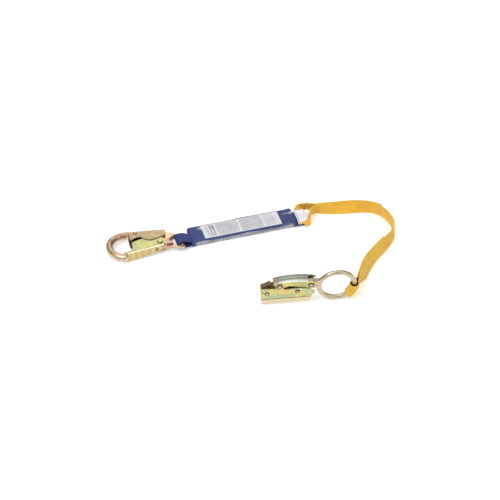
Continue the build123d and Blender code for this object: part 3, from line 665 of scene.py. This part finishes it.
eye_ring = ring_eye("strap_eye_ring_end", 7.45 * MM, 1.7 * MM, WEB_T, STRAP_W, GOLD_SEWN,
                    (0.0, PLY, 1, -1))
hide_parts("strap_eye_ring")
lining = ring_eye("eye_lining", 5.2 * MM, 0.62 * MM, 1.0 * MM, STRAP_W * 1.03, BLACK_WEB, None)
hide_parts("eye_wear_sleeve")


# ---------------------------------------------------------------- pack
PACK_X0, PACK_X1 = -90.0, 92.5
PACK_W, PACK_H = 39.6, 12.6
HALF_W = PACK_W / 2
COVER_EDGE = 3.4        # how the cover's top rounds off at both ends
TEAR_LAYERS, LAYER_PITCH = 7, 1.28


def ring_profile(y0, y1, z0, z1, r, crown=0.0, n=4):
    """A closed rounded outline in (y, z), counted the same way for every station."""
    out = []
    corners = ((y1 - r, z1 - r, 0), (y0 + r, z1 - r, 90), (y0 + r, z0 + r, 180), (y1 - r, z0 + r, 270))
    for cy, cz, start in corners:
        for k in range(n + 1):
            a = math.radians(start + 90 * k / n)
            out.append((cy + r * math.cos(a), cz + r * math.sin(a)))
        if start == 0:
            for k in range(1, 8):
                f = k / 8
                y = (y1 - r) + (y0 + r - y1 + r) * f
                out.append((y, z1 + crown * math.sin(math.pi * f)))
    return out


def skin(name, stations, mat, caps=True):
    """Joins outlines in (y, z) at a run of x positions; all in part.py's millimetres."""
    verts, uvs = [], []
    for x, outline in stations:
        around = 0.0
        for j, (y, z) in enumerate(outline):
            if j:
                around += math.hypot(y - outline[j - 1][0], z - outline[j - 1][1])
            verts.append(at(x, y, z))
            uvs.append((x * MM, around * MM))
    faces = tube_faces(len(stations), len(stations[0][1]), caps, flip=True)
    return build(name, verts, faces, uvs, mat)


def wave(x, *terms):
    """A sum of sines along x, each given as its height, its length over two pi and its start."""
    return sum(a * math.sin(x / p + q) for a, p, q in terms)


def cover_piece():
    """Blue cover: crowned on top, its lower edge wandering, and drawn down over both ends."""
    stations = []
    xs = [PACK_X0 + d for d in (0.0, 0.15, 0.6, 1.3, 2.2, 3.4, 4.8, 5.6)]
    xs += [PACK_X0 + 7 + k * (PACK_X1 - PACK_X0 - 13) / 60 for k in range(61)]
    xs += [PACK_X1 - d for d in (4.8, 4.2, 3.4, 2.2, 1.3, 0.6, 0.15, 0.0)]
    for x in xs:
        near = min(x - PACK_X0, PACK_X1 - x)
        round_off = 0.0
        if near <= COVER_EDGE:
            round_off = COVER_EDGE - math.sqrt(max(0.0, COVER_EDGE ** 2 - (COVER_EDGE - near) ** 2))
        low = 1.3 if near < 5.0 else 8.9 + wave(x, (1.1, 15, 1.0), (0.5, 6.5, 0.2))
        side = wave(x, (0.35, 21, 0.4), (0.15, 8, 2.0)) - round_off * 0.35
        top = PACK_H - 0.35 - round_off + wave(x, (0.2, 26, 2.0), (0.1, 9, 0.5))
        low = min(low, top - 1.6)
        stations.append((x, ring_profile(-HALF_W - side + 0.5, HALF_W + side - 0.5, low, top,
                                         min(1.5, (top - low) / 2 - 0.02), 0.55)))
    return skin("pack_cover", stations, BLUE_WEB)


def slab(name, z0, z1, half, mat, seed):
    """One layer of the stack, with an uneven edge."""
    stations = []
    for k in range(49):
        x = PACK_X0 + 5.4 + k * (PACK_X1 - PACK_X0 - 10.4) / 48
        off = wave(x, (0.45, 13, seed), (0.2, 5, seed * 2.1))
        lift = wave(x, (0.10, 16, seed * 1.7))
        stations.append((x, ring_profile(-half - off, half + off * 0.6, z0 + lift, z1 + lift,
                                         (z1 - z0) / 2 - 0.02, 0.0, 3)))
    return skin(name, stations, mat)


cover = cover_piece()
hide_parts("pack_cover")
# every other layer is inset and takes the darker copy, as painted shade between the layers
layers = [slab(f"tear_layer_{k + 1}", 0.75 + k * LAYER_PITCH, 1.85 + k * LAYER_PITCH,
               18.3 - 0.7 * (k % 2), TEAR_SHADED if k % 2 else TEAR_WEB, 0.7 + k * 1.9)
          for k in range(TEAR_LAYERS)]
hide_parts("tear_webbing")
backup = slab("backup_strip", 9.75, 10.9, 12.0, BACK_WEB, 4.0)
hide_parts("backup_webbing")


def film_piece():
    """Clear film round the pack, a little loose and rippled."""
    stations = []
    for k in range(81):
        x = PACK_X0 + 3 + k * (PACK_X1 - PACK_X0 - 5) / 80
        off = wave(x, (0.14, 6, 0.3), (0.1, 2.7, 1.0))
        stations.append((x, ring_profile(-20.4 - off * 0.5, 20.4 + off * 0.5, 0.1, 13.0 + off, 1.4, 0.12)))
    return skin("shrink_film", stations, FILM, caps=False)


film = film_piece()
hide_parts("shrink_sleeve")


def crown_at(y, height=0.5):
    """How far the cover's crowned top rises at y."""
    return height * math.cos(math.pi / 2 * y / HALF_W)


def sheet_on_top(name, x0, x1, y0, y1, z, mat, nx=40, ny=10, curl=0.0):
    """A thin sheet that follows the crowned top, with a little thickness and lifted ends."""
    verts, uvs, faces = [], [], []
    for lift in (0.16, 0.0):
        for i in range(nx + 1):
            for j in range(ny + 1):
                x = x0 + (x1 - x0) * i / nx
                y = y0 + (y1 - y0) * j / ny
                rise = crown_at(y) + wave(x, (0.12, 26, 2.0))
                edge = max(0.0, abs(2 * i / nx - 1) - 0.9) * curl
                verts.append(at(x, y, z + rise + lift + edge))
                uvs.append((x * MM, y * MM))
    row = ny + 1
    size = (nx + 1) * row
    for i in range(nx):
        for j in range(ny):
            a = i * row + j
            faces.append((a, a + row, a + row + 1, a + 1))
            faces.append((size + a + 1, size + a + row + 1, size + a + row, size + a))
    rim = [i * row for i in range(nx + 1)] + [nx * row + j for j in range(1, row)]
    rim += [i * row + ny for i in range(nx - 1, -1, -1)] + [j for j in range(ny - 1, 0, -1)]
    for a, b in zip(rim, rim[1:] + rim[:1]):
        faces.append((a, size + a, size + b, b))
    return build(name, verts, faces, uvs, mat, smooth=False)


label = sheet_on_top("label", -67, 67, -16.5, 16.5, PACK_H - 0.25, LABEL, curl=1.5)
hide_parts("pack_label")


def stitch_rows():
    """Zigzag bar tacks across both ends of the cover, as lengths of thread."""
    curve = bpy.data.curves.new("stitching", "CURVE")
    curve.dimensions = "3D"
    curve.bevel_depth = 0.28 * MM
    curve.bevel_resolution = 2
    for x in (PACK_X0 + 8, PACK_X0 + 12, PACK_X1 - 8, PACK_X1 - 12):
        spline = curve.splines.new("POLY")
        spline.points.add(56)
        for k, slot in enumerate(spline.points):
            y = -14 + k * 0.5
            slot.co = (*at(x + (0.75 if k % 2 else -0.75), y, PACK_H - 0.32 + crown_at(y) + 0.1), 1)
    obj = bpy.data.objects.new("stitching", curve)
    bpy.context.scene.collection.objects.link(obj)
    mesh = bpy.data.meshes.new_from_object(obj)
    bpy.data.objects.remove(obj)
    mesh.materials.clear()
    mesh.materials.append(THREAD)
    obj = bpy.data.objects.new("pack_stitching", mesh)
    bpy.context.scene.collection.objects.link(obj)
    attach(obj, "lanyard")
    return obj


stitching = stitch_rows()
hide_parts("pack_stitching")


# ---------------------------------------------------------------- loops at the pack's ends
def loop(name, x_root, x_nose, y0, y1, z, inner, thick, mat, bulge=0.0, flare=0.0, drop=0.0, low=None):
    """A band in the XZ plane: two legs joined by a half round, sewn into the pack's end.

    drop lowers the upper leg at its root, so that it goes in under the cover.  low gives the
    lower leg its own root and some more width.
    """
    side = 1 if x_nose > x_root else -1
    mean = inner + thick / 2
    x_arc = x_nose - side * (inner + thick)
    mid = (y0 + y1) / 2
    points = [(x_root, z + mean * 0.9 - drop), (x_root * 0.8 + x_arc * 0.2, z + mean * 0.95 - drop * 0.85),
              (x_root * 0.35 + x_arc * 0.65, z + mean + bulge), (x_arc, z + mean + bulge)]
    for k in range(1, 8):
        a = math.radians(90 - 180 * k / 8)
        points.append((x_arc + side * mean * math.cos(a), z + mean * math.sin(a)))
    x_low, more = low or (x_root, 0.0)
    points += [(x_arc, z - mean), ((x_low + x_arc) / 2, z - mean),
               (x_low, z - mean * (0.9 if low is None else 1))]
    line = nurbs([at(x, mid, zz) for x, zz in points])
    ups = [Vector((0, 1, 0))] * len(line)
    half = len(line) / 2
    widths = [(abs(y1 - y0) + flare * (1 - abs(i - half) / half) + more * max(0.0, i / half - 1)) * MM
              for i in range(len(line))]
    return band(name, line, ups, widths, thick * MM, mat)


hook_loop = loop("hook_loop", PACK_X0 + 1.0, -116.5, -19.1, 1.9, 10.9, 6.1, 2.2, BLUE_WEB, 0.2, 0.6, 6.0)
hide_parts("hook_loop_webbing")
pad = loop("hook_wear_pad", -101.0, -114.3, -19.2, 2.0, 10.9, 5.0, 1.1, BLACK_WEB, low=(-99.0, 0.0))
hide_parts("hook_wear_pad")
strap_loop = loop("strap_loop", PACK_X1 - 1, 113.6, -19.5, 8.5, 7.0, 3.0, 2.2, BLUE_WEB)
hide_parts("strap_loop_webbing")


def tag_piece():
    """White tag over the strap's loop, folded down over its near edge."""
    path = [(-20.6, 7.4), (-20.5, 10.6), (-19.3, 12.35), (-14, 12.75), (-5, 12.8), (4, 12.7), (9.6, 12.5)]
    line = nurbs([at(103.0, y, z) for y, z in path])
    ups = [Vector((1, 0, 0))] * len(line)
    return band("tag", line, ups, 17.4 * MM, 0.45 * MM, TAG)


tag = tag_piece()
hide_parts("strap_loop_tag")


# ---------------------------------------------------------------- lock lever's leaf spring
def leaf_spring():
    """A bowed strip between spine and wall, clear of the wall when the lever is squeezed."""
    x_way, y_way = Vector((0.99027, -0.13917, 0)), Vector((0.13917, 0.99027, 0))
    nose = Vector((-156.424, 99.084, 10.9))
    points = [(22.0, -23.1), (27.0, -22.2), (33.0, -21.0), (39.0, -19.95)]
    line = nurbs([(nose + x_way * x + y_way * y) * MM for x, y in points])
    ups = [Vector((0, 0, 1))] * len(line)
    strip = band("hook_leaf_spring", line, ups, 7.0 * MM, 0.35 * MM, STEEL["spring"])
    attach(strip, "hook")
    return strip


leaf = leaf_spring()
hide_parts("hook_lever_spring")


# ---------------------------------------------------------------- floor, lights, world
def stage():
    bpy.ops.mesh.primitive_plane_add(size=16, location=(0, 0, -0.0004))
    floor = bpy.context.object
    s = Shader("floor")
    s.put("Base Color", (0.93, 0.93, 0.93, 1))
    s.put("Emission Color", (1, 1, 1, 1))
    s.put("Emission Strength", 0.32)
    s.put("Roughness", 0.85)
    s.put("Specular IOR Level", 0.1)
    floor.data.materials.append(s.mat)
    for name, spot, size, power in LIGHTS:
        data = bpy.data.lights.new(name, "AREA")
        data.size = size
        data.energy = power
        lamp = bpy.data.objects.new(name, data)
        bpy.context.scene.collection.objects.link(lamp)
        lamp.location = spot
        lamp.rotation_euler = Vector(spot).to_track_quat("Z", "Y").to_euler()
    world = bpy.data.worlds.new("studio")
    bpy.context.scene.world = world
    world.use_nodes = True
    tree = world.node_tree
    back = tree.nodes["Background"]
    coord = tree.nodes.new("ShaderNodeTexCoord")
    split = tree.nodes.new("ShaderNodeSeparateXYZ")
    ramp = tree.nodes.new("ShaderNodeValToRGB")
    tree.links.new(coord.outputs["Generated"], split.inputs[0])
    tree.links.new(split.outputs[2], ramp.inputs["Fac"])
    tree.links.new(ramp.outputs["Color"], back.inputs["Color"])
    while len(ramp.color_ramp.elements) < len(SKY):
        ramp.color_ramp.elements.new(0.5)
    for element, (pos, v) in zip(ramp.color_ramp.elements, SKY):
        element.position = pos
        element.color = (v, v, v, 1)
    back.inputs["Strength"].default_value = 1.0
    bpy.context.scene.view_settings.view_transform = "Standard"


stage()
